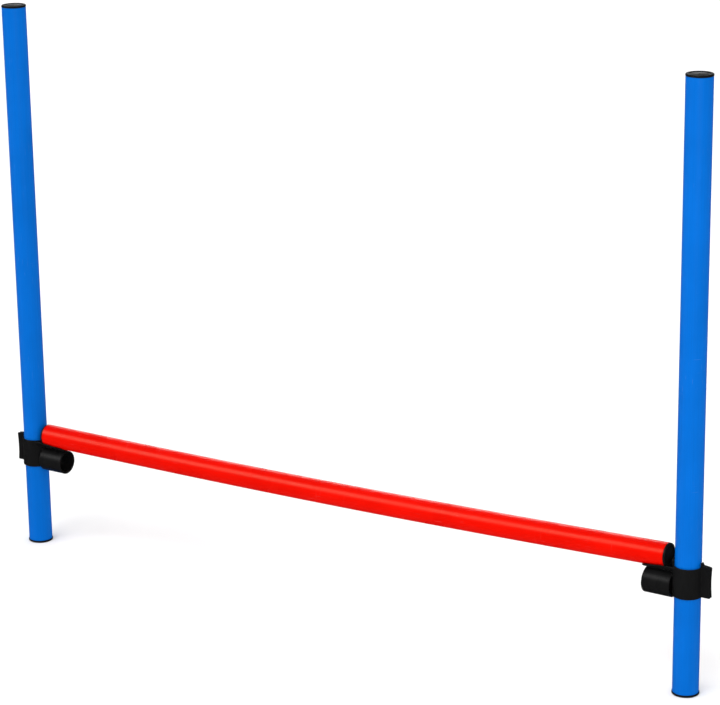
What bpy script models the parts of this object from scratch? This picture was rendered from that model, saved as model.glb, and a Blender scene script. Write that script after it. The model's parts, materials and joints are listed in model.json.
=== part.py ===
"""Agility hurdle for dogs.

Two upright plastic tubes stand one metre apart. A moulded clip slides up and down on each, and a
loose bar rests in the two clips' troughs. The right clip is set 13 mm higher. Plugs close every tube end.

Metres, +Z up. The origin is on the ground, midway between the posts. The bar runs along X and the
dog jumps along Y.
"""

import math

import bmesh
import bpy

# ---- posts
POST_SPACING = 1.000  # between the two posts' axes
POST_HEIGHT = 0.750  # ground to the top plug's face
POST_RADIUS = 0.016
POST_WALL = 0.002
TUBE_EDGE = 0.0002  # chamfer on the sawn ends

# ---- bar
BAR_RADIUS = 0.015
BAR_WALL = 0.0018
BAR_LEFT_END = 0.0204  # the loose bar's end faces, from the nearest post's axis
BAR_RIGHT_END = 0.0246
BAR_SAG = 0.005  # how far the middle hangs below the ends
BAR_SECTIONS = 12

# ---- plugs
PLUG_FACE = 0.0025  # thickness of the visible disc
TOP_PLUG_OVERHANG = 0.0002  # a top plug's disc stands out this far past its tube's wall
FOOT_PLUG_OVERHANG = 0.0007
PLUG_INSET = 0.0002  # the bar plugs' discs are this much narrower than the bar
PLUG_SHANK = 0.018
PLUG_SHANK_WALL = 0.0018
PLUG_EDGE = 0.0011  # rounding of the disc's edge

# ---- clips, in the clip's own frame: origin on the post's axis at the collar's lower edge, +X
# towards the middle of the hurdle
LEFT_CLIP_HEIGHT = 0.1125  # collar's lower edge above the ground
RIGHT_CLIP_HEIGHT = 0.1255
COLLAR_HEIGHT = 0.038
COLLAR_WALL = 0.002
SEAT_ABOVE_COLLAR = 0.006  # bar's axis above the collar's top edge
SEAT_WALL = 0.002
SEAT_ANGLE = math.radians(64)  # half the trough's arc before its rim is cut to a slope
SEAT_LENGTH = 0.0555  # post's axis to the trough's open end
SEAT_ROOT = 0.008  # the trough starts here, inside the collar's flanks
RIM_AT_COLLAR = 0.0372  # rim's height beside the collar
RIM_AT_END = 0.0322  # rim's height at the trough's open end
SOCKET_RADIUS = 0.016
SOCKET_WALL = 0.0022
SOCKET_AXIS = 0.010  # height of the tube below the trough
SOCKET_START = 0.0172
SOCKET_END = 0.0543
WEB_HALF_WIDTH = 0.003
WEB_END = 0.0520
WEB_BITE = 0.0012  # the web starts this deep in the tube's wall
STOP_HEIGHT = 0.0065  # tab between the bar's end and the post, above the collar's top
STOP_HALF_WIDTH = 0.007
STOP_THICKNESS = 0.003
EAR_REACH = 0.0305  # post's axis to the ears' outer edge
EAR_OUTSIDE = 0.0028  # outer faces of the two ears, from the clip's middle plane
EAR_GAP = 0.0016  # slit between the two ears
EAR_OVERLAP = 0.0004  # the ears start this far inside the slit and are trimmed by it
EAR_BOTTOM = 0.0014  # ears' outer bottom corner, above the collar's lower edge
EAR_TOP = 0.0022  # ears' outer top corner, above the collar's top edge
EAR_RISE = 0.0012  # the ears' top edge climbs this much towards the collar
EAR_PEAK_WIDTH = 0.0026  # pointed root of the ears, as tall as the end stop
EAR_BEAD = 0.0015  # radius of the ears' rolled outer edge
EAR_HOLLOW = 0.0010  # how far the outer edge curves in for the finger
EAR_CORNER_SHARE = 0.03  # the rolled edge narrows over this share of its length at each end
EAR_END_SHARE = 0.4  # the rolled edge's radius at its very ends, as a share of EAR_BEAD
EAR_STEPS = 12
SEAT_STEPS = 24
MOULD_EDGE = 0.0005  # chamfer on the moulded rims

GAP = 0.0003  # air left between neighbours
TURN_STEPS = 40
BAR_SIDES_RESOLUTION = 14

MATERIALS = {
    "post_blue": ((0.0, 0.171, 0.730, 1.0), 0.30),
    "bar_red": ((0.753, 0.003, 0.002, 1.0), 0.28),
    "plug_black": ((0.010, 0.010, 0.011, 1.0), 0.45),
    "clip_black": ((0.012, 0.012, 0.013, 1.0), 0.38),
}


def clear_scene():
    for obj in list(bpy.data.objects):
        bpy.data.objects.remove(obj, do_unlink=True)


def new_collection(name):
    collection = bpy.data.collections.new(name)
    bpy.context.scene.collection.children.link(collection)
    return collection


def make_material(name):
    colour, roughness = MATERIALS[name]
    material = bpy.data.materials.new(name)
    material.use_nodes = True
    shader = material.node_tree.nodes["Principled BSDF"]
    shader.inputs["Base Color"].default_value = colour
    shader.inputs["Roughness"].default_value = roughness
    shader.inputs["Metallic"].default_value = 0.0
    return material


def mesh_object(name, mesh, collection):
    obj = bpy.data.objects.new(name, mesh)
    collection.objects.link(obj)
    return obj


def turned(name, profile, collection, closed):
    """A solid of revolution about Z. The profile is (radius, height) points that run down the outer
    side. It is closed on itself for a ring, or starts and ends on the axis."""
    mesh = bpy.data.meshes.new(name)
    points = [(r, 0.0, z) for r, z in profile]
    edges = [(i, i + 1) for i in range(len(points) - 1)]
    if closed:
        edges.append((len(points) - 1, 0))
    mesh.from_pydata(points, edges, [])
    obj = mesh_object(name, mesh, collection)
    screw = obj.modifiers.new("turn", "SCREW")
    screw.axis = "Z"
    screw.angle = math.tau
    screw.steps = TURN_STEPS
    screw.render_steps = TURN_STEPS
    screw.use_merge_vertices = True
    screw.merge_threshold = 0.00002
    screw.use_smooth_shade = False
    return obj


def ring_profile(outer, inner, bottom, top, edge):
    """Section of a tube whose four corners are chamfered."""
    return [
        (outer - edge, top),
        (outer, top - edge),
        (outer, bottom + edge),
        (outer - edge, bottom),
        (inner + edge, bottom),
        (inner, bottom + edge),
        (inner, top - edge),
        (inner + edge, top),
    ]


def extruded(name, outline, half_depth, collection):
    """A flat outline in the object's XY plane, thickened both ways along Z, as a mesh."""
    curve = bpy.data.curves.new(name, "CURVE")
    curve.dimensions = "2D"
    curve.fill_mode = "BOTH"
    curve.extrude = half_depth
    curve.render_resolution_u = 0
    spline = curve.splines.new("POLY")
    spline.points.add(len(outline) - 1)
    for point, (x, y) in zip(spline.points, outline):
        point.co = (x, y, 0.0, 1.0)
    spline.use_cyclic_u = True
    source = mesh_object(name, curve, collection)
    bpy.context.view_layer.update()
    evaluated = source.evaluated_get(bpy.context.evaluated_depsgraph_get())
    mesh = bpy.data.meshes.new_from_object(evaluated)
    bpy.data.objects.remove(source, do_unlink=True)
    weld(mesh)
    return mesh_object(name, mesh, collection)


def weld(mesh):
    work = bmesh.new()
    work.from_mesh(mesh)
    bmesh.ops.remove_doubles(work, verts=work.verts, dist=0.000002)
    bmesh.ops.recalc_face_normals(work, faces=work.faces)
    work.to_mesh(mesh)
    work.free()


def box(name, low, high, collection):
    mesh = bpy.data.meshes.new(name)
    work = bmesh.new()
    bmesh.ops.create_cube(work, size=1.0)
    for vert in work.verts:
        vert.co = [(c + 0.5) * (h - l) + l for c, l, h in zip(vert.co, low, high)]
    work.to_mesh(mesh)
    work.free()
    return mesh_object(name, mesh, collection)


def cylinder(name, radius, bottom, top, collection):
    mesh = bpy.data.meshes.new(name)
    work = bmesh.new()
    bmesh.ops.create_cone(
        work, cap_ends=True, segments=TURN_STEPS, radius1=radius, radius2=radius, depth=top - bottom
    )
    bmesh.ops.translate(work, verts=work.verts, vec=(0.0, 0.0, (top + bottom) / 2))
    work.to_mesh(mesh)
    work.free()
    return mesh_object(name, mesh, collection)


def arc(centre, radius, start, end, steps):
    """Points on a circle, from one angle to the other, both included."""
    angles = [start + (end - start) * i / steps for i in range(steps + 1)]
    return [
        (centre[0] + radius * math.cos(a), centre[1] + radius * math.sin(a)) for a in angles
    ]


def combine(target, other, operation):
    modifier = target.modifiers.new(other.name, "BOOLEAN")
    modifier.operation = operation
    modifier.object = other
    modifier.solver = "EXACT"
    other.hide_render = True
    other.display_type = "WIRE"


def shade(mesh):
    mesh.shade_smooth()
    mesh.set_sharp_from_angle(angle=math.radians(32))


def finished_mesh(obj, name):
    """The object with its modifiers applied, smooth where it is round."""
    bpy.context.view_layer.update()
    evaluated = obj.evaluated_get(bpy.context.evaluated_depsgraph_get())
    mesh = bpy.data.meshes.new_from_object(evaluated)
    mesh.name = name
    weld(mesh)
    shade(mesh)
    return mesh


# ---- tubes and plugs


def post_tube_mesh(scratch):
    length = POST_HEIGHT - 2 * (PLUG_FACE + GAP)
    profile = ring_profile(POST_RADIUS, POST_RADIUS - POST_WALL, 0.0, length, TUBE_EDGE)
    return finished_mesh(turned("post_section", profile, scratch, True), "post_tube")


def plug_mesh(name, disc_radius, bore_radius, scratch):
    """A plug with its face up at z = 0 and its hollow shank hanging down into the tube."""
    shank = bore_radius - GAP
    rounding = arc((disc_radius - PLUG_EDGE, -PLUG_EDGE), PLUG_EDGE, math.pi / 2, 0.0, 4)
    profile = [(0.0, 0.0)]
    profile += rounding
    profile += [
        (disc_radius, -PLUG_FACE),
        (shank, -PLUG_FACE),
        (shank, -PLUG_SHANK + MOULD_EDGE),
        (shank - MOULD_EDGE, -PLUG_SHANK),
        (shank - PLUG_SHANK_WALL, -PLUG_SHANK),
        (shank - PLUG_SHANK_WALL, -PLUG_FACE),
        (0.0, -PLUG_FACE),
    ]
    return finished_mesh(turned(name + "_section", profile, scratch, False), name)


def make_posts(collection, scratch, materials):
    tube = post_tube_mesh(scratch)
    tube.materials.append(materials["post_blue"])
    bore = POST_RADIUS - POST_WALL
    top_plug = plug_mesh("top_plug", POST_RADIUS + TOP_PLUG_OVERHANG, bore, scratch)
    foot_plug = plug_mesh("foot_plug", POST_RADIUS + FOOT_PLUG_OVERHANG, bore, scratch)
    for plug in (top_plug, foot_plug):
        plug.materials.append(materials["plug_black"])
    for side, x in (("left", -POST_SPACING / 2), ("right", POST_SPACING / 2)):
        post = mesh_object("post_" + side, tube, collection)
        post.location = (x, 0.0, PLUG_FACE + GAP)
        top = mesh_object("top_plug_" + side, top_plug, collection)
        top.parent = post
        top.location = (0.0, 0.0, POST_HEIGHT - PLUG_FACE - GAP)
        foot = mesh_object("foot_plug_" + side, foot_plug, collection)
        foot.parent = post
        foot.location = (0.0, 0.0, -PLUG_FACE - GAP)
        foot.rotation_euler = (math.pi, 0.0, 0.0)


def bar_drop(s):
    """How far the bar hangs below its ends, s of the way along: an evenly loaded beam."""
    return BAR_SAG * 16 / 5 * (s - 2 * s**3 + s**4)


def bar_slope():
    """The bar's slope at its ends, in radians."""
    return BAR_SAG * 16 / 5 / (POST_SPACING - BAR_LEFT_END - BAR_RIGHT_END)


def bar_tilt():
    """The bar climbs to the right by this angle, because the right clip is set higher."""
    climb = RIGHT_CLIP_HEIGHT - LEFT_CLIP_HEIGHT
    return math.atan(climb / (POST_SPACING - 2 * SEAT_LENGTH))


def make_bar(collection, scratch, materials, carrier):
    """The bar rests on the open ends of the two troughs, and it rides on the left clip."""
    reach = (POST_SPACING - BAR_LEFT_END - BAR_RIGHT_END) / 2
    tube_reach = reach - PLUG_FACE - GAP
    curve = bpy.data.curves.new("bar_tube", "CURVE")
    curve.dimensions = "3D"
    curve.bevel_depth = BAR_RADIUS
    curve.bevel_resolution = BAR_SIDES_RESOLUTION
    curve.use_fill_caps = False
    curve.render_resolution_u = 0
    spline = curve.splines.new("POLY")
    spline.points.add(BAR_SECTIONS)
    for i, point in enumerate(spline.points):
        x = tube_reach * (2 * i / BAR_SECTIONS - 1)
        s = (x + reach) / (2 * reach)
        point.co = (x, 0.0, -bar_drop(s), 1.0)
    source = mesh_object("bar_path", curve, scratch)
    wall = source.modifiers.new("wall", "SOLIDIFY")
    wall.thickness = BAR_WALL
    wall.offset = -1.0
    tube = finished_mesh(source, "bar_tube")
    tube.materials.append(materials["bar_red"])
    plug = plug_mesh("bar_plug", BAR_RADIUS - PLUG_INSET, BAR_RADIUS - BAR_WALL, scratch)
    plug.materials.append(materials["plug_black"])

    middle = BAR_LEFT_END + reach
    height = COLLAR_HEIGHT + SEAT_ABOVE_COLLAR + bar_slope() * (SEAT_LENGTH - BAR_LEFT_END)
    height += math.tan(bar_tilt()) * (middle - SEAT_LENGTH)
    bar = mesh_object("bar", tube, collection)
    bar.parent = carrier
    bar.location = (middle, 0.0, height)
    bar.rotation_euler = (0.0, -bar_tilt(), 0.0)
    for side, sign in (("left", -1), ("right", 1)):
        end = mesh_object("bar_plug_" + side, plug, collection)
        end.parent = bar
        end.location = (sign * reach, 0.0, 0.0)
        end.rotation_euler = (0.0, sign * (math.pi / 2 - bar_slope()), 0.0)


# ---- clip


def collar(scratch):
    outer = POST_RADIUS + GAP + COLLAR_WALL
    inner = POST_RADIUS + GAP - COLLAR_WALL / 4
    return turned(
        "collar", ring_profile(outer, inner, 0.0, COLLAR_HEIGHT, MOULD_EDGE), scratch, True
    )


def end_stop(scratch):
    """A rounded tab that raises the collar's wall between the post and the bar's end."""
    top = COLLAR_HEIGHT + STOP_HEIGHT
    corner = STOP_HALF_WIDTH / 2
    outline = [(-STOP_HALF_WIDTH, COLLAR_HEIGHT / 2), (STOP_HALF_WIDTH, COLLAR_HEIGHT / 2)]
    outline += arc((STOP_HALF_WIDTH - corner, top - corner), corner, 0.0, math.pi / 2, 5)
    outline += arc((corner - STOP_HALF_WIDTH, top - corner), corner, math.pi / 2, math.pi, 5)
    tab = extruded("end_stop", outline, STOP_THICKNESS * 3, scratch)
    tab.rotation_euler = (math.pi / 2, 0.0, math.pi / 2)
    tab.location = (POST_RADIUS, 0.0, 0.0)
    skin = cylinder(
        "end_stop_skin",
        POST_RADIUS + GAP + STOP_THICKNESS,
        COLLAR_HEIGHT / 4,
        top + STOP_HEIGHT,
        scratch,
    )
    combine(tab, skin, "INTERSECT")
    return tab


def ear(sign, scratch):
    """One of the two finger ears beside the collar's slit, with a rolled and hollowed outer edge."""
    low = EAR_BOTTOM
    high = COLLAR_HEIGHT + EAR_TOP
    inner = -(POST_RADIUS + GAP + COLLAR_WALL / 2)
    edge = -EAR_REACH + EAR_BEAD
    outline = [
        (inner, low),
        (inner, COLLAR_HEIGHT + STOP_HEIGHT),
        (inner - EAR_PEAK_WIDTH / 2, COLLAR_HEIGHT + STOP_HEIGHT),
        (inner - EAR_PEAK_WIDTH, high + EAR_RISE),
    ]
    for i in range(EAR_STEPS + 1):
        t = i / EAR_STEPS
        outline.append((edge + EAR_HOLLOW * math.sin(math.pi * t), high + (low - high) * t))
    inside = EAR_GAP / 2 - EAR_OVERLAP
    plate = extruded("ear", outline, (EAR_OUTSIDE - inside) / 2, scratch)
    plate.rotation_euler = (math.pi / 2, 0.0, 0.0)
    plate.location = (0.0, sign * (EAR_OUTSIDE + inside) / 2, 0.0)
    return plate


def ear_bead(sign, scratch):
    """The rolled edge: a round rod that follows the ear's hollow and narrows at both ends."""
    low = EAR_BOTTOM
    high = COLLAR_HEIGHT + EAR_TOP
    curve = bpy.data.curves.new("ear_bead", "CURVE")
    curve.dimensions = "3D"
    curve.bevel_depth = EAR_BEAD
    curve.bevel_resolution = 3
    curve.use_fill_caps = True
    curve.render_resolution_u = 0
    spline = curve.splines.new("POLY")
    stations = [0.0, EAR_CORNER_SHARE] + [i / EAR_STEPS for i in range(1, EAR_STEPS)]
    stations += [1.0 - EAR_CORNER_SHARE, 1.0]
    spline.points.add(len(stations) - 1)
    y = sign * (EAR_OUTSIDE - EAR_BEAD / 2)
    for t, point in zip(stations, spline.points):
        x = -EAR_REACH + EAR_BEAD + EAR_HOLLOW * math.sin(math.pi * t)
        point.co = (x, y, high + (low - high) * t, 1.0)
        point.radius = EAR_END_SHARE if t in (0.0, 1.0) else 1.0
    source = mesh_object("ear_bead_path", curve, scratch)
    mesh = finished_mesh(source, "ear_bead")
    bpy.data.objects.remove(source, do_unlink=True)
    return mesh_object("ear_bead", mesh, scratch)


def trough(scratch):
    """The seat for the bar: an arc of tube whose rims slope down towards the open end."""
    axis = COLLAR_HEIGHT + SEAT_ABOVE_COLLAR
    inner = BAR_RADIUS + GAP
    outer = inner + SEAT_WALL
    down = -math.pi / 2
    outline = arc((0.0, axis), outer, down - SEAT_ANGLE, down + SEAT_ANGLE, SEAT_STEPS)
    outline += arc((0.0, axis), inner, down + SEAT_ANGLE, down - SEAT_ANGLE, SEAT_STEPS)
    length = SEAT_LENGTH - SEAT_ROOT
    seat = extruded("trough", outline, length / 2, scratch)
    seat.rotation_euler = (math.pi / 2, 0.0, math.pi / 2)
    seat.location = (SEAT_ROOT + length / 2, 0.0, 0.0)

    collar_radius = POST_RADIUS + GAP + COLLAR_WALL
    slope = (RIM_AT_END - RIM_AT_COLLAR) / (SEAT_LENGTH - collar_radius)
    margin = 0.01
    start = RIM_AT_COLLAR - slope * (collar_radius - SEAT_ROOT + margin)
    end = RIM_AT_END + slope * margin
    side = [
        (SEAT_ROOT - margin, start),
        (SEAT_LENGTH + margin, end),
        (SEAT_LENGTH + margin, axis + margin),
        (SEAT_ROOT - margin, axis + margin),
    ]
    cut = extruded("trough_rim_cut", side, BAR_RADIUS * 2, scratch)
    cut.rotation_euler = (math.pi / 2, 0.0, 0.0)
    combine(seat, cut, "DIFFERENCE")
    return seat


def socket(scratch):
    profile = ring_profile(
        SOCKET_RADIUS, SOCKET_RADIUS - SOCKET_WALL, SOCKET_START, SOCKET_END, MOULD_EDGE
    )
    tube = turned("socket", profile, scratch, True)
    tube.rotation_euler = (0.0, math.pi / 2, 0.0)
    tube.location = (0.0, 0.0, SOCKET_AXIS)
    return tube


def web(scratch):
    """Joins the trough to the tube below it and both to the collar."""
    seat_bottom = COLLAR_HEIGHT + SEAT_ABOVE_COLLAR - BAR_RADIUS - GAP
    return box(
        "web",
        (POST_RADIUS + GAP + COLLAR_WALL / 4, -WEB_HALF_WIDTH, SOCKET_AXIS + SOCKET_RADIUS - WEB_BITE),
        (WEB_END, WEB_HALF_WIDTH, seat_bottom - SEAT_WALL / 2),
        scratch,
    )


def clip_mesh(scratch):
    body = collar(scratch)
    parts = [end_stop(scratch), trough(scratch), socket(scratch), web(scratch)]
    for sign in (-1, 1):
        parts += [ear(sign, scratch), ear_bead(sign, scratch)]
    for part in parts:
        combine(body, part, "UNION")
    bore = cylinder("post_bore", POST_RADIUS + GAP, -COLLAR_HEIGHT, COLLAR_HEIGHT * 2, scratch)
    combine(body, bore, "DIFFERENCE")
    slit = box(
        "ear_slit",
        (-EAR_REACH - EAR_BEAD, -EAR_GAP / 2, -COLLAR_HEIGHT),
        (-POST_RADIUS / 2, EAR_GAP / 2, COLLAR_HEIGHT * 2),
        scratch,
    )
    combine(body, slit, "DIFFERENCE")
    return finished_mesh(body, "clip")


def make_clips(collection, scratch, materials):
    """Two copies of one moulding, each turned to face the middle of the hurdle."""
    mesh = clip_mesh(scratch)
    mesh.materials.append(materials["clip_black"])
    left = mesh_object("clip_left", mesh, collection)
    left.location = (-POST_SPACING / 2, 0.0, LEFT_CLIP_HEIGHT)
    right = mesh_object("clip_right", mesh, collection)
    right.location = (POST_SPACING / 2, 0.0, RIGHT_CLIP_HEIGHT)
    right.rotation_euler = (0.0, 0.0, math.pi)
    return left


def main():
    clear_scene()
    collection = new_collection("agility_hurdle")
    scratch = new_collection("cutters")
    materials = {name: make_material(name) for name in MATERIALS}
    make_posts(collection, scratch, materials)
    left_clip = make_clips(collection, scratch, materials)
    make_bar(collection, scratch, materials, left_clip)
    for obj in list(scratch.objects):
        bpy.data.objects.remove(obj, do_unlink=True)
    bpy.data.collections.remove(scratch)


main()
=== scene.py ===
"""Looks of the dog agility hurdle: two blue posts, a red knock-off bar and the black mouldings.

Every piece is a finer model of one CAD node. It takes its place and its main sizes from that node's
box, and rides on that node's body. Lengths are in metres.
"""

import json
import math

import bmesh
import bpy
from mathutils import Matrix, Vector

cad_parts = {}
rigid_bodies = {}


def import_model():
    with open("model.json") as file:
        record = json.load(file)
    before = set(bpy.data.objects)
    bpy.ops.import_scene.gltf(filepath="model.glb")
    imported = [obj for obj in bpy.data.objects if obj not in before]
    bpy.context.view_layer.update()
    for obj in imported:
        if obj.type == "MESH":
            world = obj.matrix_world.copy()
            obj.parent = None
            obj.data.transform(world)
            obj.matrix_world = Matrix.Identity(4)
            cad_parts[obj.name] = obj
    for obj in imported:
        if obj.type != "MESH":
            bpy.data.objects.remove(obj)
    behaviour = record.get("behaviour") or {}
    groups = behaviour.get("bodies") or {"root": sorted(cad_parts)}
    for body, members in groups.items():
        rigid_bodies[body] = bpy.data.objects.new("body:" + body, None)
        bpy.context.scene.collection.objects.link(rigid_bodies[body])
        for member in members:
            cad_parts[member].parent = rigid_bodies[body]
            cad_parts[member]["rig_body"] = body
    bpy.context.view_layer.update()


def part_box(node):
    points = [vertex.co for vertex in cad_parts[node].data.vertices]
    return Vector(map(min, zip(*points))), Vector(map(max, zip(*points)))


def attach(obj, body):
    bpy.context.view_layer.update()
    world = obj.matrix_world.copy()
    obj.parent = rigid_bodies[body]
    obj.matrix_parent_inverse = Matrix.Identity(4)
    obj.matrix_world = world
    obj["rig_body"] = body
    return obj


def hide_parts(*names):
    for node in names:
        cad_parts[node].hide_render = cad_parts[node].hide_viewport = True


# ---- tubes
POST_WALL = 0.002
BAR_WALL = 0.0018
BAR_SAG = 0.005  # how far the middle hangs below the ends
TUBE_EDGE = 0.0003
TUBE_SIDES = 96
BAR_SECTIONS = 48

# ---- plugs
HEAD_THICKNESS = 0.0025
HEAD_EDGE = 0.0010
SHANK_LENGTH = 0.018
SHANK_WALL = 0.0018
FIT_GAP = 0.0003
PLUG_SIDES = 96
RIM_SHARE = 0.78  # inner radius of a head's raised rim, as a share of its outer radius
DISC_SUNK = 0.0005  # how far the disc inside the rim lies below it
GROOVE_DEPTH = 0.0003
GATE_RADIUS = 0.0008  # dimple that the moulding leaves at the disc's centre

# ---- clip, in its own frame: origin on the post's axis at the collar's lower edge, +X towards the
# middle of the hurdle
COLLAR_HEIGHT = 0.038
COLLAR_INNER = 0.0163
COLLAR_OUTER = 0.0183
SEAT_AXIS = 0.044
SEAT_INNER = 0.0153
SEAT_OUTER = 0.0173
SEAT_ANGLE = math.radians(64)
SEAT_START = 0.008
SEAT_END = 0.0555
RIM_AT_COLLAR = 0.0372
RIM_AT_END = 0.0322
SOCKET_OUTER = 0.016
SOCKET_INNER = 0.0138
SOCKET_AXIS = 0.010
SOCKET_START = 0.0172
SOCKET_END = 0.0543
WEB_HALF_WIDTH = 0.003
WEB_START = 0.0168
WEB_END = 0.0520
WEB_LOW = 0.0248
WEB_HIGH = 0.0277
STOP_TOP = 0.0445
STOP_HALF_WIDTH = 0.007
STOP_OUTER = 0.0193
EAR_ROOT = 0.0173
EAR_REACH = 0.0305
EAR_OUTSIDE = 0.0028
EAR_INSIDE = 0.0004
EAR_SLIT = 0.0016
EAR_LOW = 0.0014
EAR_HIGH = 0.0402
EAR_PEAK_WIDTH = 0.0026
EAR_RISE = 0.0012
EAR_BEAD = 0.0015
EAR_HOLLOW = 0.0010
EAR_CORNER = 0.0016
MOULD_EDGE = 0.0005
CLIP_SIDES = 128
SLIT_START = -0.008  # the slit runs from inside the bore to past the ears
SLIT_END = -0.04
CUT_LOW = -0.01  # cutters reach from under the clip to above it
CUT_HIGH = 0.06
VOXEL = 0.00045
FILLET_PASSES = 5
FILLET_FACTOR = 0.5
KEPT_FACES = 0.35

# ---- colours, linear
BLUE = (0.0, 0.116, 0.492)
RED = (0.635, 0.0022, 0.0)
BLACK = (0.0057, 0.0057, 0.0059)
NEUTRAL = (1.0, 1.0, 1.0)
WARM = (1.0, 0.85, 0.50)
FLOOR_WHITE = (0.85, 0.85, 0.85)

# ---- surfaces
GLOSS = 0.035  # low, so that the white surroundings don't grey the colours
POST_ROUGHNESS = 0.36
BAR_ROUGHNESS = 0.28
CLIP_ROUGHNESS = 0.30
PLUG_ROUGHNESS = 0.36
CLIP_GRAIN = 2200.0  # scale of the noise, so larger is finer
PLUG_GRAIN = 3000.0
CLIP_GRAIN_DEPTH = 0.00006
PLUG_GRAIN_DEPTH = 0.00004
TUBE_BUMP_DEPTH = 0.00006
BUMP_STRENGTH = 0.35
ALONG_X = 0
ALONG_Z = 2

# ---- light
WORLD_LIGHT = 1.0
DOME_GLOW = (0.06, 0.30)  # just under the horizon and overhead
FLOOR_HALF = 30
DOME_RADIUS = 25.0


# ---- meshes


def mesh_object(name, mesh):
    piece = bpy.data.objects.new(name, mesh)
    bpy.context.scene.collection.objects.link(piece)
    return piece


def mesh_from(name, points, faces):
    mesh = bpy.data.meshes.new(name)
    mesh.from_pydata(points, [], faces)
    work = bmesh.new()
    work.from_mesh(mesh)
    bmesh.ops.remove_doubles(work, verts=work.verts, dist=0.000001)
    bmesh.ops.recalc_face_normals(work, faces=work.faces)
    work.to_mesh(mesh)
    work.free()
    return mesh


def soften(mesh, degrees=40):
    mesh.shade_smooth()
    mesh.set_sharp_from_angle(angle=math.radians(degrees))


def lofted(name, rings, closed_rows, capped):
    """A skin over rings that all have the same number of points."""
    count = len(rings[0])
    points = [point for ring in rings for point in ring]
    faces = []
    rows = len(rings) if closed_rows else len(rings) - 1
    for row in range(rows):
        here = row * count
        there = (row + 1) % len(rings) * count
        for i in range(count):
            j = (i + 1) % count
            faces.append((here + i, here + j, there + j, there + i))
    if capped:
        faces.append(tuple(range(count)))
        faces.append(tuple(range(len(points) - count, len(points))))
    return mesh_from(name, points, faces)


def lathed(name, profile, sides, closed):
    """Turns (radius, height) points about Z."""
    angles = [math.tau * i / sides for i in range(sides)]
    rings = [[(r * math.cos(a), r * math.sin(a), z) for a in angles] for r, z in profile]
    return lofted(name, rings, closed, False)


def arc(centre, radius, start, end, steps):
    angles = [start + (end - start) * i / steps for i in range(steps + 1)]
    return [(centre[0] + radius * math.cos(a), centre[1] + radius * math.sin(a)) for a in angles]


def ring_profile(outer, inner, bottom, top, edge, steps=4):
    """Section of a tube with its four corners rounded."""
    quarter = math.pi / 2
    profile = arc((outer - edge, top - edge), edge, quarter, 0.0, steps)
    profile += arc((outer - edge, bottom + edge), edge, 0.0, -quarter, steps)
    profile += arc((inner + edge, bottom + edge), edge, -quarter, -2 * quarter, steps)
    profile += arc((inner + edge, top - edge), edge, 2 * quarter, quarter, steps)
    return profile


def prism(name, outline, low, high, place):
    """A flat outline in XY, drawn out along Z from low to high, then put in place by a matrix."""
    rings = [[(x, y, low) for x, y in outline], [(x, y, high) for x, y in outline]]
    piece = mesh_object(name, lofted(name, rings, False, True))
    piece.data.transform(place)
    return piece


def applied(piece):
    """The piece's mesh with its modifiers applied."""
    bpy.context.view_layer.update()
    evaluated = piece.evaluated_get(bpy.context.evaluated_depsgraph_get())
    return bpy.data.meshes.new_from_object(evaluated)


def combine(target, other, operation):
    modifier = target.modifiers.new(other.name, "BOOLEAN")
    modifier.operation = operation
    modifier.object = other
    modifier.solver = "EXACT"


# ---- posts and bar


def post_mesh(radius, length):
    profile = ring_profile(radius, radius - POST_WALL, 0.0, length, TUBE_EDGE)
    mesh = lathed("post_tube", profile, TUBE_SIDES, True)
    soften(mesh)
    return mesh


def beam_drop(s):
    """How far an evenly loaded bar hangs below its ends, s of the way along it."""
    return BAR_SAG * 16 / 5 * (s - 2 * s**3 + s**4)


def bar_mesh(half_length, half_span, radius):
    """The bar's tube about its own origin, which is midway between its plugs' faces."""
    inner = radius - BAR_WALL
    stations = [half_length * (2 * i / BAR_SECTIONS - 1) for i in range(BAR_SECTIONS + 1)]
    section = [(x, radius) for x in stations]
    section[0] = (stations[0] + TUBE_EDGE, radius)
    section[-1] = (stations[-1] - TUBE_EDGE, radius)
    section += [(stations[-1], radius - TUBE_EDGE), (stations[-1], inner + TUBE_EDGE)]
    section += [(x, inner) for x in reversed(stations)]
    section += [(stations[0], inner + TUBE_EDGE), (stations[0], radius - TUBE_EDGE)]
    rings = []
    for x, r in section:
        drop = beam_drop((x + half_span) / (2 * half_span))
        angles = [math.tau * i / TUBE_SIDES for i in range(TUBE_SIDES)]
        rings.append([(x, r * math.cos(a), r * math.sin(a) - drop) for a in angles])
    mesh = lofted("bar_tube", rings, True, False)
    soften(mesh)
    return mesh


def plug_mesh(name, head_radius, bore_radius):
    """A plug with its face up at z = 0: a raised rim round a sunk disc, and a gate mark."""
    quarter = math.pi / 2
    rim_inner = head_radius * RIM_SHARE
    sunk = -DISC_SUNK
    groove = sunk - GROOVE_DEPTH
    shank = bore_radius - FIT_GAP
    profile = [(0.0, groove), (GATE_RADIUS, groove), (0.0011, sunk)]
    profile += [(rim_inner - 0.0022, sunk), (rim_inner - 0.0016, groove)]
    profile += [(rim_inner - 0.0007, groove), (rim_inner - 0.0001, sunk + 0.0001)]
    profile += arc((rim_inner + 0.0004, -0.0004), 0.0004, 2 * quarter, quarter, 4)
    profile += arc((head_radius - HEAD_EDGE, -HEAD_EDGE), HEAD_EDGE, quarter, 0.0, 6)
    profile += [(head_radius, -HEAD_THICKNESS + 0.0002)]
    profile += [(head_radius - 0.0002, -HEAD_THICKNESS), (shank, -HEAD_THICKNESS)]
    profile += [(shank, -SHANK_LENGTH + MOULD_EDGE), (shank - MOULD_EDGE, -SHANK_LENGTH)]
    profile += [(shank - SHANK_WALL, -SHANK_LENGTH), (shank - SHANK_WALL, -HEAD_THICKNESS)]
    profile += [(0.0, -HEAD_THICKNESS)]
    mesh = lathed(name, profile, PLUG_SIDES, False)
    soften(mesh, 30)
    return mesh


# ---- clip


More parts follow.
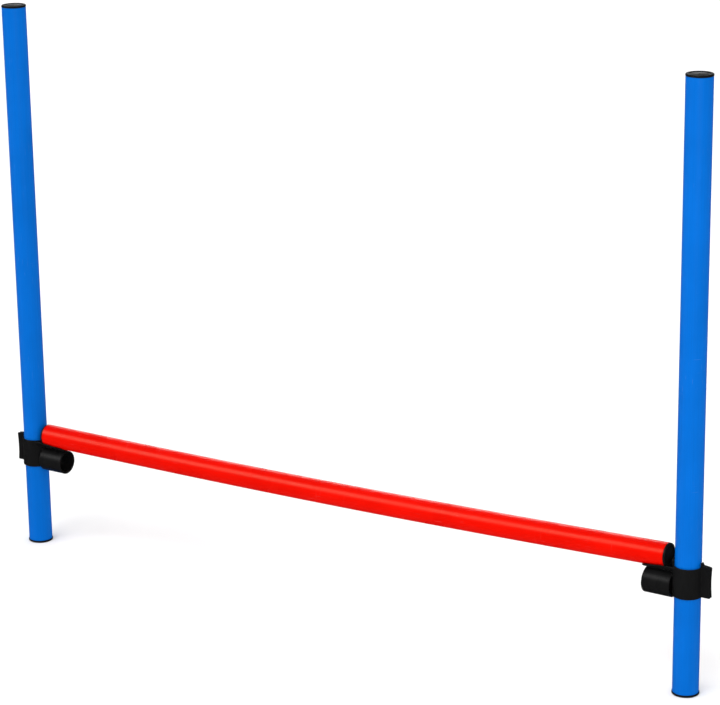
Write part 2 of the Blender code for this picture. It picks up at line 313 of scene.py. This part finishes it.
def upright(y):
    """Turns a prism so that its outline's X stays along X and its Y runs up, and moves it to y."""
    return Matrix.Translation((0.0, y, 0.0)) @ Matrix.Rotation(math.pi / 2, 4, "X")


def along_x():
    """Turns a prism so that it is drawn along X. Its outline's X runs along Y and its Y runs up."""
    return Matrix(((0, 0, 1, 0), (1, 0, 0, 0), (0, 1, 0, 0), (0, 0, 0, 1)))


def clip_collar():
    profile = ring_profile(COLLAR_OUTER, COLLAR_INNER - 0.0005, 0.0, COLLAR_HEIGHT, MOULD_EDGE)
    return mesh_object("collar", lathed("collar", profile, CLIP_SIDES, True))


def clip_stop():
    """A rounded tab that raises the collar's wall between the post and the bar's end."""
    corner = STOP_HALF_WIDTH / 2
    outline = [(-STOP_HALF_WIDTH, COLLAR_HEIGHT / 2), (STOP_HALF_WIDTH, COLLAR_HEIGHT / 2)]
    outline += arc((STOP_HALF_WIDTH - corner, STOP_TOP - corner), corner, 0.0, math.pi / 2, 8)
    outline += arc((corner - STOP_HALF_WIDTH, STOP_TOP - corner), corner, math.pi / 2, math.pi, 8)
    tab = prism("end_stop", outline, COLLAR_INNER / 2, COLLAR_OUTER * 2, along_x())
    profile = [(0.0, 0.0), (STOP_OUTER, 0.0), (STOP_OUTER, STOP_TOP * 2), (0.0, STOP_TOP * 2)]
    skin = mesh_object("end_stop_skin", lathed("end_stop_skin", profile, CLIP_SIDES, False))
    combine(tab, skin, "INTERSECT")
    return tab


def clip_trough():
    """The bar's seat: an arc of tube whose rims slope down towards the open end."""
    down = -math.pi / 2
    outline = arc((0.0, SEAT_AXIS), SEAT_OUTER, down - SEAT_ANGLE, down + SEAT_ANGLE, 48)
    outline += arc((0.0, SEAT_AXIS), SEAT_INNER, down + SEAT_ANGLE, down - SEAT_ANGLE, 48)
    seat = prism("trough", outline, SEAT_START, SEAT_END, along_x())
    slope = (RIM_AT_END - RIM_AT_COLLAR) / (SEAT_END - COLLAR_OUTER)
    margin = 0.01
    low_start = RIM_AT_COLLAR - slope * (COLLAR_OUTER - SEAT_START + margin)
    low_end = RIM_AT_END + slope * margin
    side = [
        (SEAT_START - margin, low_start),
        (SEAT_END + margin, low_end),
        (SEAT_END + margin, SEAT_AXIS + margin),
        (SEAT_START - margin, SEAT_AXIS + margin),
    ]
    cut = prism("trough_rim_cut", side, -SEAT_OUTER * 2, SEAT_OUTER * 2, upright(0.0))
    combine(seat, cut, "DIFFERENCE")
    return seat


def clip_socket():
    profile = ring_profile(SOCKET_OUTER, SOCKET_INNER, SOCKET_START, SOCKET_END, MOULD_EDGE)
    tube = mesh_object("socket", lathed("socket", profile, 112, True))
    tube.data.transform(
        Matrix.Translation((0.0, 0.0, SOCKET_AXIS)) @ Matrix.Rotation(math.pi / 2, 4, "Y")
    )
    return tube


def clip_web():
    side = [
        (WEB_START, WEB_LOW),
        (WEB_END, WEB_LOW),
        (WEB_END, WEB_HIGH),
        (WEB_START, WEB_HIGH),
    ]
    return prism("web", side, -WEB_HALF_WIDTH, WEB_HALF_WIDTH, upright(0.0))


def ear_edge(t):
    """The ears' outer edge, t of the way down: it curves in for the finger."""
    return -EAR_REACH + EAR_BEAD + EAR_HOLLOW * math.sin(math.pi * t)


def clip_ear(sign):
    steps = 24
    outline = [
        (-EAR_ROOT, EAR_LOW),
        (-EAR_ROOT, STOP_TOP),
        (-EAR_ROOT - EAR_PEAK_WIDTH / 2, STOP_TOP),
        (-EAR_ROOT - EAR_PEAK_WIDTH, EAR_HIGH + EAR_RISE),
    ]
    for i in range(steps + 1):
        t = i / steps
        outline.append((ear_edge(t), EAR_HIGH + (EAR_LOW - EAR_HIGH) * t))
    half = (EAR_OUTSIDE - EAR_INSIDE) / 2
    return prism("ear", outline, -half, half, upright(sign * (EAR_OUTSIDE + EAR_INSIDE) / 2))


def clip_ear_bead(sign):
    """The rolled edge: a round rod that follows the ear's hollow, with rounded ends."""
    steps = 64
    y = sign * (EAR_OUTSIDE - EAR_BEAD / 2)
    rings = []
    for i in range(steps + 1):
        t = i / steps
        z = EAR_HIGH + (EAR_LOW - EAR_HIGH) * t
        inset = 1.0 - min(1.0, min(EAR_HIGH - z, z - EAR_LOW) / EAR_CORNER)
        radius = EAR_BEAD * math.sqrt(max(0.04, 1.0 - inset**2))
        angles = [math.tau * k / 16 for k in range(16)]
        rings.append(
            [(ear_edge(t) + radius * math.cos(a), y + radius * math.sin(a), z) for a in angles]
        )
    return mesh_object("ear_bead", lofted("ear_bead", rings, False, True))


def clip_mesh():
    """One moulding: its parts are joined, bored and slit, then every edge and corner is rounded."""
    body = clip_collar()
    parts = [clip_stop(), clip_trough(), clip_socket(), clip_web()]
    for sign in (-1, 1):
        parts += [clip_ear(sign), clip_ear_bead(sign)]
    for part in parts:
        combine(body, part, "UNION")
    profile = [(0.0, CUT_LOW), (COLLAR_INNER, CUT_LOW), (COLLAR_INNER, CUT_HIGH), (0.0, CUT_HIGH)]
    bore = mesh_object("post_bore", lathed("post_bore", profile, CLIP_SIDES, False))
    combine(body, bore, "DIFFERENCE")
    outline = [(SLIT_END, CUT_LOW), (SLIT_START, CUT_LOW)]
    outline += [(SLIT_START, CUT_HIGH), (SLIT_END, CUT_HIGH)]
    slit = prism("ear_slit", outline, -EAR_SLIT / 2, EAR_SLIT / 2, upright(0.0))
    combine(body, slit, "DIFFERENCE")
    remesh = body.modifiers.new("even_skin", "REMESH")
    remesh.mode = "VOXEL"
    remesh.voxel_size = VOXEL
    smooth = body.modifiers.new("fillets", "SMOOTH")
    smooth.factor = FILLET_FACTOR
    smooth.iterations = FILLET_PASSES
    thin = body.modifiers.new("fewer_faces", "DECIMATE")
    thin.ratio = KEPT_FACES
    mesh = applied(body)
    mesh.name = "clip"
    mesh.shade_smooth()
    return mesh


# ---- materials


def new_material(name):
    material = bpy.data.materials.new(name)
    material.use_nodes = True
    tree = material.node_tree
    return material, tree, tree.nodes["Principled BSDF"]


def node(tree, kind, inputs=None, **settings):
    """Adds a node. An input's value is a number or colour, or another node's socket."""
    made = tree.nodes.new(kind)
    for key, value in settings.items():
        setattr(made, key, value)
    for key, value in (inputs or {}).items():
        if isinstance(value, bpy.types.NodeSocket):
            tree.links.new(value, made.inputs[key])
        else:
            made.inputs[key].default_value = value
    return made


def noise(tree, coordinates, stretch, scale, detail=2.0):
    """Noise in the piece's own metres, with the coordinates scaled by stretch first."""
    mapping = node(tree, "ShaderNodeMapping", {"Vector": coordinates, "Scale": stretch})
    made = node(
        tree,
        "ShaderNodeTexNoise",
        {"Vector": mapping.outputs["Vector"], "Scale": scale, "Detail": detail},
    )
    return made.outputs["Fac"]


def ramp(tree, value, low, high, out_low, out_high):
    made = node(
        tree,
        "ShaderNodeMapRange",
        {"Value": value, 1: low, 2: high, 3: out_low, 4: out_high},
    )
    return made.outputs["Result"]


def maths(tree, operation, a, b):
    made = node(tree, "ShaderNodeMath", {0: a, 1: b}, operation=operation)
    return made.outputs["Value"]


def blended(tree, factor, a, b):
    """Colour a where factor is 0 and b where it is 1."""
    made = node(
        tree,
        "ShaderNodeMix",
        {"Factor": factor, 6: a, 7: b},
        data_type="RGBA",
    )
    return made.outputs[2]


def shade_of(colour, share):
    return tuple(min(1.0, c * share) for c in colour) + (1.0,)


def hairlines(tree, coordinates, stretch, scale, amount):
    """Short thin streaks: the peaks of a noise that is drawn out along one axis."""
    field = noise(tree, coordinates, stretch, scale, 1.0)
    return ramp(tree, field, 0.74 - amount, 0.80 - amount, 0.0, 1.0)


def tube_material(name, colour, axis, roughness, gloss_tint):
    """Extruded plastic tube: die lines along it, slight mottling, hairline scratches and rubs."""
    material, tree, shader = new_material(name)
    coordinates = node(tree, "ShaderNodeTexCoord").outputs["Object"]
    along = [1.0, 1.0, 1.0]
    along[axis] = 0.012
    mottle = ramp(
        tree, noise(tree, coordinates, (1.0, 1.0, 1.0), 14.0, 3.0), 0.3, 0.7, 0.0, 1.0
    )
    lines = noise(tree, coordinates, along, 900.0, 2.0)
    grain = noise(tree, coordinates, (1.0, 1.0, 1.0), 2600.0, 1.0)
    drawn = [1.0, 1.0, 1.0]
    drawn[axis] = 0.05
    across = [0.05, 0.05, 0.05]
    across[axis] = 1.0
    hairs = maths(
        tree,
        "MAXIMUM",
        hairlines(tree, coordinates, drawn, 1100.0, 0.03),
        hairlines(tree, coordinates, across, 900.0, 0.0),
    )
    patches = ramp(tree, noise(tree, coordinates, (1.0, 1.0, 1.0), 9.0), 0.50, 0.68, 0.0, 1.0)
    worn = maths(tree, "MULTIPLY", hairs, patches)
    varied = blended(tree, mottle, shade_of(colour, 0.93), shade_of(colour, 1.06))
    lined = blended(
        tree, ramp(tree, lines, 0.35, 0.65, 0.0, 0.22), varied, shade_of(colour, 0.72)
    )
    pale = tuple(0.75 * c + 0.10 for c in colour) + (1.0,)
    rubbed = blended(tree, maths(tree, "MULTIPLY", worn, 0.55), lined, pale)
    tree.links.new(rubbed, shader.inputs["Base Color"])
    rough = ramp(tree, mottle, 0.0, 1.0, roughness - 0.04, roughness + 0.05)
    rough = maths(tree, "ADD", rough, maths(tree, "MULTIPLY", worn, 0.15))
    tree.links.new(rough, shader.inputs["Roughness"])
    shader.inputs["Specular IOR Level"].default_value = GLOSS
    shader.inputs["Specular Tint"].default_value = gloss_tint + (1.0,)
    height = maths(tree, "ADD", maths(tree, "MULTIPLY", lines, 0.8), grain)
    height = maths(tree, "SUBTRACT", height, maths(tree, "MULTIPLY", worn, 0.8))
    bump = node(
        tree,
        "ShaderNodeBump",
        {"Height": height, "Strength": BUMP_STRENGTH, "Distance": TUBE_BUMP_DEPTH},
    )
    tree.links.new(bump.outputs["Normal"], shader.inputs["Normal"])
    return material


def moulded_material(name, colour, roughness, grain_scale, grain_depth):
    """Injection-moulded black plastic: fine spark texture, flow marks and rubbed edges."""
    material, tree, shader = new_material(name)
    coordinates = node(tree, "ShaderNodeTexCoord").outputs["Object"]
    flow = noise(tree, coordinates, (1.0, 1.0, 0.5), 90.0, 3.0)
    grain = noise(tree, coordinates, (1.0, 1.0, 1.0), grain_scale, 2.0)
    hairs = hairlines(tree, coordinates, (1.0, 1.0, 0.06), 1300.0, 0.03)
    edge = ramp(
        tree, node(tree, "ShaderNodeNewGeometry").outputs["Pointiness"], 0.52, 0.62, 0.0, 1.0
    )
    varied = blended(tree, flow, shade_of(colour, 0.75), shade_of(colour, 1.35))
    pale = tuple(3.0 * c + 0.01 for c in colour) + (1.0,)
    wear = maths(tree, "MULTIPLY", maths(tree, "ADD", edge, hairs), flow)
    worn = blended(tree, maths(tree, "MULTIPLY", wear, 0.45), varied, pale)
    tree.links.new(worn, shader.inputs["Base Color"])
    rough = ramp(tree, flow, 0.3, 0.7, roughness - 0.06, roughness + 0.06)
    tree.links.new(rough, shader.inputs["Roughness"])
    shader.inputs["Specular IOR Level"].default_value = GLOSS
    bump = node(
        tree,
        "ShaderNodeBump",
        {"Height": grain, "Strength": BUMP_STRENGTH, "Distance": grain_depth},
    )
    tree.links.new(bump.outputs["Normal"], shader.inputs["Normal"])
    return material


# ---- pieces


def place(name, mesh, material, matrix, node_name, body, slot):
    piece = mesh_object(name, mesh)
    piece.matrix_world = matrix
    if material.name not in mesh.materials:
        mesh.materials.append(material)
    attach(piece, body)
    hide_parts(node_name)
    return piece


def make_posts(blue, black):
    low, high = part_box("post_left")
    tube = post_mesh((high.x - low.x) / 2, high.z - low.z)
    bore = (high.x - low.x) / 2 - POST_WALL
    plugs = {}
    for end in ("top", "foot"):
        head_low, head_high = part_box(end + "_plug_left")
        plugs[end] = plug_mesh(end + "_plug", (head_high.x - head_low.x) / 2, bore)
    for side in ("left", "right"):
        low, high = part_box("post_" + side)
        x = (low.x + high.x) / 2
        y = (low.y + high.y) / 2
        turn = Matrix.Rotation(0.0 if side == "left" else math.pi / 2, 4, "Z")
        place(
            "upright_tube_" + side,
            tube,
            blue,
            Matrix.Translation((x, y, low.z)) @ turn,
            "post_" + side,
            "posts",
            "post_blue",
        )
        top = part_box("top_plug_" + side)[1].z
        place(
            "top_cap_" + side,
            plugs["top"],
            black,
            Matrix.Translation((x, y, top)) @ turn,
            "top_plug_" + side,
            "posts",
            "plug_black",
        )
        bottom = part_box("foot_plug_" + side)[0].z
        place(
            "foot_cap_" + side,
            plugs["foot"],
            black,
            Matrix.Translation((x, y, bottom)) @ Matrix.Rotation(math.pi, 4, "X"),
            "foot_plug_" + side,
            "posts",
            "plug_black",
        )


def make_clips(black):
    mesh = clip_mesh()
    for side, sign in (("left", 1), ("right", -1)):
        post_low, post_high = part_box("post_" + side)
        x = (post_low.x + post_high.x) / 2
        clip_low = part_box("clip_" + side)[0].z
        z = clip_low + SOCKET_OUTER - SOCKET_AXIS
        turn = Matrix.Rotation(0.0 if sign > 0 else math.pi, 4, "Z")
        place(
            "moulded_clip_" + side,
            mesh,
            black,
            Matrix.Translation((x, 0.0, z)) @ turn,
            "clip_" + side,
            side + "_clip",
            "clip_black",
        )


def make_bar(red, black):
    low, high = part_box("bar")
    left_low, left_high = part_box("bar_plug_left")
    right_low, right_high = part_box("bar_plug_right")
    radius = (high.y - low.y) / 2
    half_length = (high.x - low.x) / 2
    half_span = (right_high.x - left_low.x) / 2
    slope = BAR_SAG * 16 / 5 / (2 * half_span)
    dip = slope * (left_high.x - left_low.x) / 2
    left_z = (left_low.z + left_high.z) / 2 + dip
    right_z = (right_low.z + right_high.z) / 2 + dip
    tilt = math.atan((right_z - left_z) / (2 * half_span - left_high.x + left_low.x))
    x = (left_low.x + right_high.x) / 2
    centre = Matrix.Translation((x, 0.0, (left_z + right_z) / 2))
    centre = centre @ Matrix.Rotation(-tilt, 4, "Y")
    place(
        "knock_off_tube",
        bar_mesh(half_length, half_span, radius),
        red,
        centre,
        "bar",
        "knock_off_bar",
        "bar_red",
    )
    plug = plug_mesh("bar_plug", (left_high.y - left_low.y) / 2, radius - BAR_WALL)
    for side, sign in (("left", -1), ("right", 1)):
        facing = Matrix.Rotation(sign * (math.pi / 2 - slope), 4, "Y")
        place(
            "bar_cap_" + side,
            plug,
            black,
            centre @ Matrix.Translation((sign * half_span, 0.0, 0.0)) @ facing,
            "bar_plug_" + side,
            "knock_off_bar",
            "plug_black",
        )


# ---- floor, lights and camera


def make_floor():
    corners = [(-1, -1), (1, -1), (1, 1), (-1, 1)]
    points = [(x * FLOOR_HALF, y * FLOOR_HALF, 0) for x, y in corners]
    mesh = mesh_from("floor", points, [(0, 1, 2, 3)])
    floor = mesh_object("floor", mesh)
    material, _, shader = new_material("floor_white")
    shader.inputs["Base Color"].default_value = FLOOR_WHITE + (1.0,)
    shader.inputs["Roughness"].default_value = 0.9
    shader.inputs["Specular IOR Level"].default_value = 0.0
    mesh.materials.append(material)
    floor.visible_glossy = False


def make_light(azimuth, elevation, strength, angle, gloss_only=False):
    """A far soft light. Azimuth 0 shines along +Y and 90 along -X. Angles are in degrees."""
    light = bpy.data.lights.new("soft_light", "SUN")
    light.energy = strength
    light.angle = math.radians(angle)
    lamp = bpy.data.objects.new("soft_light", light)
    bpy.context.scene.collection.objects.link(lamp)
    a = math.radians(azimuth)
    e = math.radians(elevation)
    back = Vector((math.sin(a) * math.cos(e), -math.cos(a) * math.cos(e), math.sin(e)))
    lamp.rotation_mode = "QUATERNION"
    lamp.rotation_quaternion = back.to_track_quat("Z", "Y")
    lamp.visible_diffuse = not gloss_only


def make_softbox(position, target, size, power):
    """A square lamp close by, so it lights the right post more than the left. Cameras miss it."""
    light = bpy.data.lights.new("softbox", "AREA")
    light.size = size
    light.energy = power
    lamp = bpy.data.objects.new("softbox", light)
    bpy.context.scene.collection.objects.link(lamp)
    lamp.location = position
    lamp.visible_camera = False
    lamp.rotation_mode = "QUATERNION"
    lamp.rotation_quaternion = (Vector(position) - Vector(target)).to_track_quat("Z", "Y")


def make_world():
    """Even white light all round. Only the dim dome and the lamps show in reflections."""
    world = bpy.data.worlds.new("studio")
    world.use_nodes = True
    background = world.node_tree.nodes["Background"]
    background.inputs["Color"].default_value = (1.0, 1.0, 1.0, 1.0)
    background.inputs["Strength"].default_value = WORLD_LIGHT
    world.cycles_visibility.glossy = False
    bpy.context.scene.world = world


def make_dome():
    """What the gloss reflects: dark below the horizon and a soft grey overhead."""
    mesh = bpy.data.meshes.new("dome")
    work = bmesh.new()
    bmesh.ops.create_icosphere(work, subdivisions=4, radius=DOME_RADIUS)
    work.to_mesh(mesh)
    work.free()
    dome = mesh_object("dome", mesh)
    material, tree, shader = new_material("dome_glow")
    tree.nodes.remove(shader)
    coordinates = node(tree, "ShaderNodeTexCoord").outputs["Object"]
    height = node(tree, "ShaderNodeSeparateXYZ", {"Vector": coordinates}).outputs["Z"]
    glow = node(
        tree, "ShaderNodeEmission", {"Strength": ramp(tree, height, -2.0, 22.0, *DOME_GLOW)}
    )
    surface = tree.nodes["Material Output"].inputs["Surface"]
    tree.links.new(glow.outputs["Emission"], surface)
    material.cycles.emission_sampling = "NONE"
    mesh.materials.append(material)
    dome.visible_camera = False
    dome.visible_diffuse = False
    dome.visible_shadow = False
    dome.visible_transmission = False


def make_camera(position, yaw, pitch, roll, lens):
    """Yaw turns from +Y towards +X, pitch looks down, roll turns about the view. In radians."""
    forward = Vector(
        (math.sin(yaw) * math.cos(pitch), math.cos(yaw) * math.cos(pitch), -math.sin(pitch))
    )
    level_right = forward.cross(Vector((0.0, 0.0, 1.0))).normalized()
    level_up = level_right.cross(forward)
    right = math.cos(roll) * level_right + math.sin(roll) * level_up
    up = -math.sin(roll) * level_right + math.cos(roll) * level_up
    data = bpy.data.cameras.new("camera")
    data.lens = lens
    data.sensor_width = 36.0
    data.clip_start = 0.05
    data.clip_end = 200.0
    camera = bpy.data.objects.new("camera", data)
    bpy.context.scene.collection.objects.link(camera)
    rotation = Matrix((right, up, -forward)).transposed()
    camera.matrix_world = Matrix.Translation(position) @ rotation.to_4x4()
    bpy.context.scene.camera = camera


def clear_scratch():
    """Removes the building blocks of the clip, which ride on no body."""
    for piece in list(bpy.data.objects):
        if piece.type == "MESH" and "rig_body" not in piece:
            bpy.data.objects.remove(piece, do_unlink=True)


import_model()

blue = tube_material("blue_tube", BLUE, ALONG_Z, POST_ROUGHNESS, NEUTRAL)
red = tube_material("red_tube", RED, ALONG_X, BAR_ROUGHNESS, WARM)
clip_black = moulded_material("clip_plastic", BLACK, CLIP_ROUGHNESS, CLIP_GRAIN, CLIP_GRAIN_DEPTH)
plug_black = moulded_material("plug_plastic", BLACK, PLUG_ROUGHNESS, PLUG_GRAIN, PLUG_GRAIN_DEPTH)

make_posts(blue, plug_black)
make_clips(clip_black)
make_bar(red, plug_black)
clear_scratch()
make_floor()
make_world()
make_dome()
make_light(azimuth=2, elevation=56, strength=0.85, angle=28)
make_light(azimuth=-42, elevation=37, strength=0.6, angle=30)
make_light(azimuth=-42, elevation=37, strength=4.4, angle=28, gloss_only=True)
make_light(azimuth=213, elevation=14, strength=3.4, angle=24, gloss_only=True)
make_softbox(position=(1.6, -1.7, 0.9), target=(0.5, 0.0, 0.4), size=1.2, power=12.0)
make_camera(
    position=(1.7849, -2.6281, 1.2972), yaw=-0.5862, pitch=0.2904, roll=-0.0143, lens=131.6
)
bpy.context.scene.view_settings.view_transform = "Standard"
